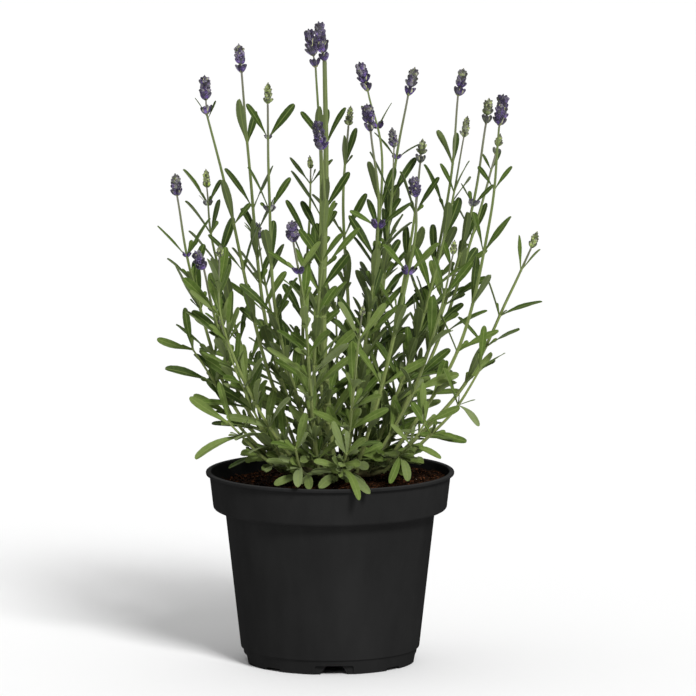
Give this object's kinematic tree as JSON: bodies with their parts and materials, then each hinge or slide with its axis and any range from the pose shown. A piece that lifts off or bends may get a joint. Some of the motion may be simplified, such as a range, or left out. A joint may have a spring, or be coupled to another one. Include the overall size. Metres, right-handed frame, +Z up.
{
  "type": "potted lavender",
  "caption": "Young lavender plant with violet flower spikes, growing in a round black plastic nursery pot on notched feet.",
  "frame": {"origin": "on the pot's axis, in the plane that its feet stand on", "axes": "+Z up along the pot's axis, -Y to the front, where one wide notch is, +X to the right"},
  "size_m": [0.293, 0.2703, 0.4925],
  "materials": {
    "pot_plastic": "satin",
    "peat": "matte",
    "woody_stem": "matte",
    "leaf_and_stem": "matte",
    "violet_spike": "matte",
    "green_spike": "matte"
  },
  "bodies": {
    "root": {"pot": "pot_plastic", "soil": "peat", "crown": "woody_stem", "spike_01": "violet_spike", "spike_02": "violet_spike", "spike_03": "green_spike", "spike_04": "violet_spike", "spike_05": "violet_spike", "spike_06": "violet_spike", "spike_08": "green_spike", "spike_09": "violet_spike", "spike_10": "violet_spike", "spike_11": "violet_spike", "spike_13": "green_spike", "spike_14": "violet_spike", "spike_15": "violet_spike", "spike_17": "green_spike", "spike_18": "violet_spike", "spike_19": "green_spike", "spike_20": "green_spike", "spike_22": "violet_spike", "spike_25": "violet_spike", "spike_28": "violet_spike", "shoot_01": "leaf_and_stem", "shoot_02": "leaf_and_stem", "shoot_03": "leaf_and_stem", "shoot_04": "leaf_and_stem", "shoot_05": "leaf_and_stem", "shoot_06": "leaf_and_stem", "shoot_08": "leaf_and_stem", "shoot_09": "leaf_and_stem", "shoot_10": "leaf_and_stem", "shoot_11": "leaf_and_stem", "shoot_13": "leaf_and_stem", "shoot_14": "leaf_and_stem", "shoot_15": "leaf_and_stem", "shoot_17": "leaf_and_stem", "shoot_18": "leaf_and_stem", "shoot_19": "leaf_and_stem", "shoot_20": "leaf_and_stem", "shoot_22": "leaf_and_stem", "shoot_25": "leaf_and_stem", "shoot_28": "leaf_and_stem", "sprig_07": "leaf_and_stem", "sprig_12": "leaf_and_stem", "sprig_16": "leaf_and_stem", "sprig_21": "leaf_and_stem", "sprig_23": "leaf_and_stem", "sprig_26": "leaf_and_stem", "sprig_27": "leaf_and_stem", "sprig_29": "leaf_and_stem", "sprig_34": "leaf_and_stem", "sprig_left_upper": "leaf_and_stem", "sprig_left_lower": "leaf_and_stem", "sprig_right_upper": "leaf_and_stem", "sprig_right_lower": "leaf_and_stem", "sprig_front_right": "leaf_and_stem", "sprig_front_left": "leaf_and_stem", "sprig_back_right": "leaf_and_stem", "sprig_back": "leaf_and_stem"}
  },
  "joints": []
}
